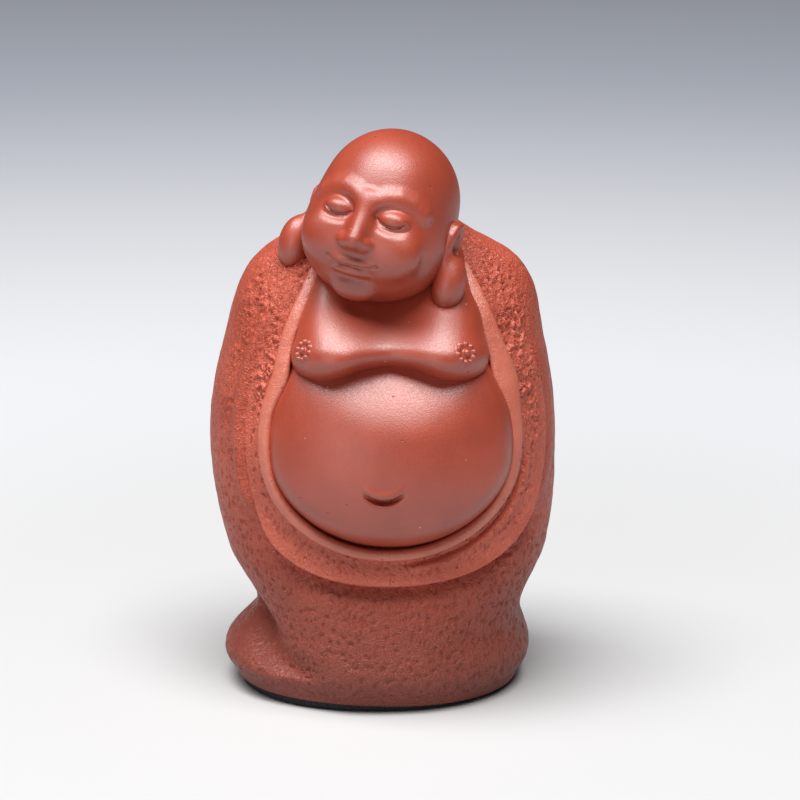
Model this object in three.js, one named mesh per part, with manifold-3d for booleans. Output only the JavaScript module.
// Tea pet: a stout standing monk figure of fired red clay, luted from pressed shells, rolled coils
// and slabs, on a soft foot pad. Millimetres, +Z up. The figure looks towards -Y and +X is its own
// left. The origin is the centre of the pad's underside.

import * as THREE from 'three';
import { LoftGeometry } from 'three/addons/geometries/LoftGeometry.js';
import { mergeVertices } from 'three/addons/utils/BufferGeometryUtils.js';
import Module from 'manifold-3d';

const wasm = await Module();
wasm.setup();

// Clay and joints
const WALL = 3.5; // wall of the pressed shells
const SLIP = 0.3; // slip joint between luted pieces

// Foot
const PAD_THICKNESS = 2;
const PAD_INSET = 0.5; // pad edge behind the clay edge
const FOOT_TUCK = 2; // how far the hem rounds in to the foot
const BASE_THICKNESS = 3;
const VENT_RADIUS = 1.7;

// Robe: each station's rise over the one below, and its reach to the figure's left, right, front and back
const HEM = { rise: 3.5, left: 27.0, right: 26.8, front: 26.1, back: 26.3 };
const WAIST = { rise: 7.5, left: 25.4, right: 21.2, front: 25.6, back: 22.6 };
const HIP = { rise: 12, left: 29.9, right: 26.1, front: 24.0, back: 24.2 };
const BODY = { rise: 20, left: 31.2, right: 29.0, front: 24.2, back: 26.0 };
const BREAST = { rise: 16, left: 29.2, right: 26.3, front: 19.6, back: 23.6 };
const SHOULDER = { rise: 13.5, left: 24.8, right: 21.3, front: 12.2, back: 17.4 };
const COLLAR = { rise: 9.5, left: 11.5, right: 10.5, front: 2, back: 8 };
const ROBE_FULLNESS = 2.2; // 2 is an ellipse, more is squarer
const SEAM_Y = 0; // seam between the front and back shells

// Valley over the hem that trails at the figure's right; its fades are shares of the turn from right to front
const VALLEY = { depth: 2.6, width: 2.7, low: 6, climb: 11.5, rightFade: [0, 0.13], frontFade: [0.57, 0.93] };

// Folds that hang behind: broad ones that sway, narrow ones that slant, and where they fade out
const FOLD_HEIGHT = 0.55;
const BROAD_FOLDS = { count: 9, sway: 0.9, swayHeight: 14 };
const NARROW_FOLDS = { count: 15, share: 0.5, slantHeight: 18 };
const FOLD_FADES = { side: [0.15, 0.7], foot: [2, 12], top: [45, 72] };

// Opening of the robe, as seen from the front, on the torso's own axis
const TORSO_X = 2.5;
const OPENING_BOTTOM = 28.4;
const OPENING_WIDEST = 47;
const OPENING_HALF_WIDTH = 21.2;
const OPENING_TOP = 83;
const OPENING_TOP_HALF_WIDTH = 10.2;
const OPENING_FULLNESS = 0.56; // share of the box that the lower curve's handles reach
const NECKLINE_LOW_HANDLE = 0.3; // shares of the climb to the collar where the upper curve is pulled
const NECKLINE_HIGH_HANDLE = 0.55;
const NECKLINE_DRAW_IN = 0.45; // share of the narrowing that is done at the high handle

// Rolled coil round the opening, and the shawl-like lapel outside it
const ROLL_RADIUS = 1.25;
const ROLL_LIFT = 0.5; // height of the coil's middle over its seat
const LAPEL_SPREAD = { left: 4.9, right: 3.2 }; // lapel's outer edge beside the opening
const LAPEL_DROP = 5.3; // lapel's outer edge below the opening
const LAPEL_FULLNESS = 0.7;
const LAPEL_THICKNESS = 1.3;
const LAPEL_SHORTFALL = 7; // how far below the collar coil, lapel and chest run out

// Belly and chest
const BELLY_Y = -14;
const BELLY_SINK = 3; // belly's centre below the widest place of the opening
const BELLY_DEPTH = 15.5; // reach in front of its centre
const BELLY_SAG = -12; // degrees that it leans back at the top
const BELLY_TUCK = 4; // how far the torso runs on behind the coil at its sides
const BELLY_UNDERCUT = 5; // how far the belly runs on below the opening's rim
const BREAST_SPREAD = 7.2; // breast centre from the torso's axis
const BREAST_Y = -14.5;
const BREAST_RISE = 19; // over the belly's centre
const BREAST_SIZE = { x: 13, y: 9.6, z: 7.6 };
const UPPER_CHEST_Y = -5;
const UPPER_CHEST_DROP = 1; // below the breasts' centres
const UPPER_CHEST_DEPTH = 15.5;
const UPPER_CHEST_HEIGHT = 13;

// Head: its middle and its lean, turn and nod in degrees
const HEAD_X = 1.6;
const HEAD_Y = -10;
const HEAD_RISE = 21.2; // over the breasts' centres
const HEAD_LEAN = 12; // crown towards the figure's left
const HEAD_TURN = -18; // face towards the figure's right
const HEAD_NOD = -9; // face upwards
const HEAD_SEAM_Y = 1; // seam between face and skull, in the head's own frame
const CRANIUM = { y: 1.2, z: 2.4, size: { x: 11.8, y: 12.8, z: 12.4 } };
const JAW = { y: -2.2, z: -5, size: { x: 12.4, y: 10.9, z: 9.8 } };
const NOSE = { z: -4.6, width: 2.3, height: 2.7, proud: 2.1 };
const CHIN = { z: -11.6, width: 4.2, height: 2.6, proud: 1.1 };

// Neck tube in the head's own frame
const NECK_Y = 4.5;
const NECK_RADIUS = 7;
const NECK_BORE = 3.6;
const NECK_REACH = 1.3; // how far the tube stands inside the head's hollow
const NECK_LENGTH = 10;

// Ears in the head's own frame, mirrored for the other side
const EAR_Y = 0;
const PINNA_X = 11.7;
const PINNA_Z = -2.6;
const PINNA_SIZE = { x: 2.4, y: 3.4, z: 4.4 };
const LOBE_X = 13.8;
const LOBE_Z = -8;
const LOBE_SIZE = { x: 2.8, y: 3.1, z: 4.6 };

// Facets
const ROBE_ROWS = 26;
const ROW_CROWDING = 1.3; // more than 1 crowds the rows towards the hem
const ROBE_SIDES = 64;
const FACET = 3.2; // length of a facet on round forms
const FEWEST_SIDES = 10;
const OUTLINE_STEPS = 26; // along half of an outline
const ROLL_SIDES = 8;

// Colours, as fired
const CLAY = { color: 0xa8482f, roughness: 0.62, metalness: 0 };
const ROUGH_CLAY = { color: 0x9c452f, roughness: 0.8, metalness: 0 };
const PAD_FOAM = { color: 0x2f2e33, roughness: 0.9, metalness: 0 };

// A closed geometry as a solid that can be joined and cut
function solidOf(geometry) {
  const bare = new THREE.BufferGeometry();
  bare.setAttribute('position', geometry.getAttribute('position'));
  bare.setIndex(geometry.getIndex());
  const welded = mergeVertices(bare);
  return new wasm.Manifold(new wasm.Mesh({
    numProp: 3,
    vertProperties: Float32Array.from(welded.attributes.position.array),
    triVerts: Uint32Array.from(welded.index.array),
  }));
}

// A joined and cut solid as a geometry for a mesh
function geometryOf(solid) {
  const { vertProperties, triVerts } = solid.getMesh();
  const geometry = new THREE.BufferGeometry();
  geometry.setAttribute('position', new THREE.BufferAttribute(vertProperties, 3));
  geometry.setIndex(new THREE.BufferAttribute(triVerts, 1));
  geometry.computeVertexNormals();
  return geometry;
}

// Sides that a round form of this radius needs, an even number
function sidesFor(radius) {
  return Math.max(FEWEST_SIDES, 2 * Math.round((Math.PI * radius) / FACET));
}

// An ellipsoid, grown by the same amount all round, and moved by a matrix if there is one
function ellipsoid({ x, y, z }, size, grow = 0, matrix = null) {
  const sides = sidesFor(Math.max(size.x, size.y, size.z));
  const geometry = new THREE.SphereGeometry(1, sides, sides / 2);
  geometry.rotateX(Math.PI / 2);
  geometry.scale(size.x + grow, size.y + grow, size.z + grow);
  geometry.translate(x, y, z);
  if (matrix) geometry.applyMatrix4(matrix);
  return solidOf(geometry);
}

// An upright cylinder between two heights, on the middle plane of its frame
function cylinder(y, radius, bottom, top, matrix = null) {
  const geometry = new THREE.CylinderGeometry(radius, radius, top - bottom, sidesFor(radius));
  geometry.rotateX(Math.PI / 2);
  geometry.translate(0, y, (top + bottom) / 2);
  if (matrix) geometry.applyMatrix4(matrix);
  return solidOf(geometry);
}

// Everything on one side of a plane: the box runs from the plane along its direction
function halfSpace(axis, from, direction) {
  const geometry = new THREE.BoxGeometry(2 * REACH, 2 * REACH, 2 * REACH);
  const offset = new THREE.Vector3().setComponent(axis, from + direction * REACH);
  geometry.translate(offset.x, offset.y, offset.z);
  return solidOf(geometry);
}

// Heights that follow from each other
const BELLY_Z = OPENING_WIDEST - BELLY_SINK;
const BREAST_Z = BELLY_Z + BREAST_RISE;
const HEAD_Z = BREAST_Z + HEAD_RISE;
const FOOT = {
  z: PAD_THICKNESS,
  left: HEM.left - FOOT_TUCK,
  right: HEM.right - FOOT_TUCK,
  front: HEM.front - FOOT_TUCK,
  back: HEM.back - FOOT_TUCK,
};
const STATIONS = [FOOT];
for (const station of [HEM, WAIST, HIP, BODY, BREAST, SHOULDER, COLLAR]) {
  STATIONS.push({ ...station, z: STATIONS.at(-1).z + station.rise });
}
const COLLAR_Z = STATIONS.at(-1).z;
const LAPEL_TOP = COLLAR_Z - LAPEL_SHORTFALL;
const NECK_TOP = JAW.z - JAW.size.z + WALL + NECK_REACH;
const NECK_BOTTOM = NECK_TOP - NECK_LENGTH;
const REACH = 2 * (COLLAR_Z + HEAD_Z); // longer than anything that is cut

// Reach of the robe to each side at a height, read off a smooth curve through the stations
const reachesOf = ({ left, right, front, back }) => [left, right, front, back];
const robeCurve = new THREE.CubicInterpolant(
  STATIONS.map((station) => station.z),
  STATIONS.flatMap(reachesOf),
  reachesOf(FOOT).length,
);

function robeReach(z, grow) {
  const [left, right, front, back] = robeCurve.evaluate(THREE.MathUtils.clamp(z, FOOT.z, COLLAR_Z));
  return { left: left + grow, right: right + grow, front: front + grow, back: back + grow };
}

// How far the robe stands out of its smooth form, or falls behind it, in the folds and the valley
function robeRelief(angle, z) {
  const { clamp, smoothstep } = THREE.MathUtils;
  const broad = Math.sin(BROAD_FOLDS.count * angle + BROAD_FOLDS.sway * Math.sin(z / BROAD_FOLDS.swayHeight));
  const narrow = NARROW_FOLDS.share * Math.sin(NARROW_FOLDS.count * angle - z / NARROW_FOLDS.slantHeight);
  const behind = smoothstep(Math.sin(angle), ...FOLD_FADES.side);
  const hanging = smoothstep(z, ...FOLD_FADES.foot) * (1 - smoothstep(z, ...FOLD_FADES.top));
  const turn = clamp((angle - Math.PI) / (Math.PI / 2), 0, 1); // from the figure's right to its front
  const bottom = VALLEY.low + VALLEY.climb * (1 - turn) ** 2;
  const beside = smoothstep(turn, ...VALLEY.rightFade) * (1 - smoothstep(turn, ...VALLEY.frontFade));
  const valley = VALLEY.depth * Math.exp(-(((z - bottom) / VALLEY.width) ** 2));
  return FOLD_HEIGHT * (broad + narrow) * behind * hanging - valley * beside;
}

// One level outline of the robe, counterclockwise from above
function robeSection(z, grow) {
  const { left, right, front, back } = robeReach(z, grow);
  const power = 2 / ROBE_FULLNESS;
  const points = [];
  for (let side = 0; side < ROBE_SIDES; side += 1) {
    const angle = (2 * Math.PI * side) / ROBE_SIDES;
    const across = Math.sign(Math.cos(angle)) * Math.abs(Math.cos(angle)) ** power;
    const along = Math.sign(Math.sin(angle)) * Math.abs(Math.sin(angle)) ** power;
    const relief = robeRelief(angle, z);
    points.push(new THREE.Vector3(
      across * ((across > 0 ? left : right) + relief),
      along * ((along > 0 ? back : front) + relief),
      z,
    ));
  }
  return points;
}

// The robe's full form, grown or shrunk by the same amount all round, from a height upwards
function robeForm(grow, bottom = FOOT.z) {
  const top = COLLAR_Z + grow;
  const sections = bottom < FOOT.z ? [robeSection(bottom, grow)] : [];
  for (let row = 0; row <= ROBE_ROWS; row += 1) {
    const share = (row / ROBE_ROWS) ** ROW_CROWDING;
    sections.push(robeSection(THREE.MathUtils.lerp(FOOT.z, top, share), grow));
  }
  return solidOf(new LoftGeometry(sections, { capStart: true, capEnd: true }));
}

// Front of the robe at a point of the front view
function robeFront(x, z, grow) {
  const { left, right, front } = robeReach(z, grow);
  const share = Math.min(Math.abs(x) / (x > 0 ? left : right), 1);
  return -front * (1 - share ** ROBE_FULLNESS) ** (1 / ROBE_FULLNESS);
}

// Half of an outline in the front view, from the bottom of the opening up to the collar
function halfOutline(spread, drop, fullness) {
  const width = OPENING_HALF_WIDTH + spread;
  const bottom = OPENING_BOTTOM - drop;
  const rise = OPENING_WIDEST - bottom;
  const topWidth = OPENING_TOP_HALF_WIDTH + spread;
  const climb = OPENING_TOP - OPENING_WIDEST;
  const path = new THREE.Path();
  path.moveTo(0, bottom);
  path.bezierCurveTo(width * fullness, bottom, width, OPENING_WIDEST - rise * fullness, width, OPENING_WIDEST);
  path.bezierCurveTo(
    width, OPENING_WIDEST + climb * NECKLINE_LOW_HANDLE,
    THREE.MathUtils.lerp(width, topWidth, NECKLINE_DRAW_IN), OPENING_WIDEST + climb * NECKLINE_HIGH_HANDLE,
    topWidth, OPENING_TOP,
  );
  return path.getSpacedPoints(OUTLINE_STEPS);
}

// The same outline moved outwards by a distance
function offsetHalf(points, distance) {
  return points.map((point, index) => {
    const before = points[Math.max(index - 1, 0)];
    const after = points[Math.min(index + 1, points.length - 1)];
    const along = index === 0 ? new THREE.Vector2(1, 0) : after.clone().sub(before).normalize();
    return new THREE.Vector2(point.x + along.y * distance, point.y - along.x * distance);
  });
}

// A half outline and its mirror image as a prism through the front of the figure
function frontPrism(half) {
  const top = half[half.length - 1];
  const shape = new THREE.Shape();
  shape.moveTo(TORSO_X + half[0].x, half[0].y);
  half.slice(1).forEach((point) => shape.lineTo(TORSO_X + point.x, point.y));
  shape.lineTo(TORSO_X + top.x, REACH);
  shape.lineTo(TORSO_X - top.x, REACH);
  half.slice(1).reverse().forEach((point) => shape.lineTo(TORSO_X - point.x, point.y));
  shape.closePath();
  const geometry = new THREE.ExtrudeGeometry(shape, { depth: REACH, bevelEnabled: false, steps: 1 });
  geometry.rotateX(Math.PI / 2);
  geometry.translate(0, SEAM_Y, 0);
  return solidOf(geometry);
}

// Head, neck and ears, in the head's own frame or moved into the figure's frame
const headGroup = new THREE.Group();
headGroup.position.set(HEAD_X, HEAD_Y, HEAD_Z);
headGroup.rotation.set(
  THREE.MathUtils.degToRad(HEAD_NOD),
  THREE.MathUtils.degToRad(HEAD_LEAN),
  THREE.MathUtils.degToRad(HEAD_TURN),
  'YZX',
);
headGroup.updateMatrix();

function headForm(grow, matrix = null) {
  const cranium = ellipsoid({ x: 0, y: CRANIUM.y, z: CRANIUM.z }, CRANIUM.size, grow, matrix);
  const jaw = ellipsoid({ x: 0, y: JAW.y, z: JAW.z }, JAW.size, grow, matrix);
  return cranium.add(jaw);
}

// How far forward the jaw's surface lies at a height on the face's middle line
function faceFront(z) {
  const share = THREE.MathUtils.clamp((z - JAW.z) / JAW.size.z, -1, 1);
  return JAW.y - JAW.size.y * Math.sqrt(1 - share * share);
}

// A rounded feature on the face's middle line that stands proud of it
function faceBoss({ z, width, height, proud }, grow, matrix) {
  return ellipsoid({ x: 0, y: faceFront(z), z }, { x: width, y: proud, z: height }, grow, matrix);
}

function headOuter(grow, matrix = null) {
  return headForm(grow, matrix)
    .add(faceBoss(NOSE, grow, matrix))
    .add(faceBoss(CHIN, grow, matrix));
}

function neckForm(grow, matrix = null) {
  return cylinder(NECK_Y, NECK_RADIUS + grow, NECK_BOTTOM - grow, NECK_TOP + grow, matrix);
}

// The long lobes rest on the robe and the chest, so the ears are shaped in the figure's frame
function earForm(side, grow) {
  const pinna = ellipsoid({ x: side * PINNA_X, y: EAR_Y, z: PINNA_Z }, PINNA_SIZE, grow, headGroup.matrix);
  const lobe = ellipsoid({ x: side * LOBE_X, y: EAR_Y, z: LOBE_Z }, LOBE_SIZE, grow, headGroup.matrix);
  return pinna.add(lobe);
}

// Room that the head and the neck need in the body's pieces, and the ears in the trim beside them
const headRoom = headOuter(SLIP, headGroup.matrix).add(neckForm(SLIP, headGroup.matrix));
const earRoom = earForm(1, SLIP).add(earForm(-1, SLIP));

// Outline of the coil's middle
const rollLine = halfOutline(0, 0, OPENING_FULLNESS);

const hollow = robeForm(-WALL, FOOT.z - WALL);
const robeSeat = robeForm(SLIP);
const torsoPrism = frontPrism(offsetHalf(rollLine, -ROLL_RADIUS - SLIP));

function robeShells() {
  const wall = robeForm(0).subtract(hollow).subtract(headRoom);
  const opening = frontPrism(offsetHalf(rollLine, -ROLL_RADIUS));
  return {
    front: wall.intersect(halfSpace(1, SEAM_Y - SLIP / 2, -1)).subtract(opening),
    back: wall.intersect(halfSpace(1, SEAM_Y + SLIP / 2, 1)),
  };
}

const torsoHalfWidth = OPENING_HALF_WIDTH - ROLL_RADIUS + BELLY_TUCK;
const bellySize = {
  x: torsoHalfWidth,
  y: BELLY_DEPTH,
  z: BELLY_Z - OPENING_BOTTOM + BELLY_UNDERCUT,
};

function bellyForm(grow) {
  const place = new THREE.Matrix4()
    .makeRotationX(THREE.MathUtils.degToRad(BELLY_SAG))
    .setPosition(TORSO_X, BELLY_Y, BELLY_Z);
  return ellipsoid({ x: 0, y: 0, z: 0 }, bellySize, grow, place);
}

function bellyDome() {
  return bellyForm(0)
    .intersect(torsoPrism)
    .subtract(hollow)
    .subtract(bellyForm(-WALL))
    .subtract(headRoom);
}

function chestForm(grow) {
  const upper = ellipsoid(
    { x: TORSO_X, y: UPPER_CHEST_Y, z: BREAST_Z - UPPER_CHEST_DROP },
    { x: torsoHalfWidth, y: UPPER_CHEST_DEPTH, z: UPPER_CHEST_HEIGHT },
    grow,
  );
  const breasts = [-1, 1].map((side) => (
    ellipsoid({ x: TORSO_X + side * BREAST_SPREAD, y: BREAST_Y, z: BREAST_Z }, BREAST_SIZE, grow)
  ));
  return upper.add(breasts[0]).add(breasts[1]);
}

function chestPlate() {
  return chestForm(0)
    .intersect(torsoPrism)
    .intersect(halfSpace(2, LAPEL_TOP, -1))
    .subtract(bellyForm(SLIP))
    .subtract(hollow)
    .subtract(headRoom);
}

// One half of the coil, from the middle of the opening's bottom up to the shoulder
function borderRoll(side) {
  const seat = SLIP + ROLL_LIFT;
  const path = new THREE.CatmullRomCurve3(rollLine.filter((point) => point.y < LAPEL_TOP).map((point) => {
    const x = TORSO_X + side * Math.max(point.x, SLIP / 2);
    return new THREE.Vector3(x, robeFront(x, point.y, seat), point.y);
  }));
  const section = new THREE.Shape();
  section.absarc(0, 0, ROLL_RADIUS, 0, 2 * Math.PI);
  const tube = new THREE.ExtrudeGeometry(section, {
    curveSegments: ROLL_SIDES / 2,
    steps: OUTLINE_STEPS,
    extrudePath: path,
    bevelEnabled: false,
  });
  return solidOf(tube).subtract(robeSeat).subtract(headRoom).subtract(earRoom);
}

// One half of the lapel: a rind on the robe between the coil and the lapel's outer edge
function lapel(side, spread) {
  const rind = robeForm(SLIP + LAPEL_THICKNESS).subtract(robeSeat);
  const inner = frontPrism(offsetHalf(rollLine, ROLL_RADIUS + SLIP));
  return rind
    .intersect(frontPrism(halfOutline(spread, LAPEL_DROP, LAPEL_FULLNESS)))
    .subtract(inner)
    .intersect(halfSpace(0, TORSO_X + (side * SLIP) / 2, side))
    .intersect(halfSpace(2, LAPEL_TOP, -1))
    .subtract(headRoom)
    .subtract(earRoom);
}

function headShells() {
  const wall = headOuter(0).subtract(headForm(-WALL)).subtract(neckForm(SLIP));
  return {
    face: wall.intersect(halfSpace(1, HEAD_SEAM_Y - SLIP / 2, -1)),
    skull: wall.intersect(halfSpace(1, HEAD_SEAM_Y + SLIP / 2, 1)),
  };
}

function neckRing() {
  const bore = cylinder(NECK_Y, NECK_BORE, NECK_BOTTOM - WALL, NECK_TOP + WALL);
  return neckForm(0).subtract(bore);
}

function ear(side) {
  return earForm(side, 0)
    .subtract(headForm(SLIP, headGroup.matrix))
    .subtract(robeSeat)
    .subtract(chestForm(SLIP))
    .subtract(bellyForm(SLIP));
}

// Slab that closes the foot, with the vent hole that a hollow piece needs in the kiln
function basePlate() {
  const top = FOOT.z + BASE_THICKNESS;
  const slab = robeForm(-WALL - SLIP).intersect(halfSpace(2, top, -1));
  return slab.subtract(cylinder(0, VENT_RADIUS, FOOT.z - WALL, top + WALL));
}

function footPad() {
  const sections = [0, PAD_THICKNESS].map((z) => robeSection(z, -PAD_INSET));
  return solidOf(new LoftGeometry(sections, { capStart: true, capEnd: true }));
}

// A named mesh with its own material
function piece(name, solid, finish) {
  const mesh = new THREE.Mesh(geometryOf(solid), new THREE.MeshStandardMaterial(finish));
  mesh.name = name;
  return mesh;
}

const figure = new THREE.Group();
const robe = robeShells();
figure.add(piece('robe_front_shell', robe.front, ROUGH_CLAY));
figure.add(piece('robe_back_shell', robe.back, ROUGH_CLAY));
figure.add(piece('belly_dome', bellyDome(), CLAY));
figure.add(piece('chest_plate', chestPlate(), CLAY));
figure.add(piece('base_plate', basePlate(), CLAY));
figure.add(piece('foot_pad', footPad(), PAD_FOAM));

const SIDES = { left: 1, right: -1 };
for (const [name, side] of Object.entries(SIDES)) {
  figure.add(piece(`${name}_border_roll`, borderRoll(side), CLAY));
  figure.add(piece(`${name}_lapel`, lapel(side, LAPEL_SPREAD[name]), ROUGH_CLAY));
  figure.add(piece(`${name}_ear`, ear(side), CLAY));
}

const head = headShells();
headGroup.add(piece('face_shell', head.face, CLAY));
headGroup.add(piece('skull_shell', head.skull, CLAY));
headGroup.add(piece('neck_ring', neckRing(), CLAY));
figure.add(headGroup);

export default figure;
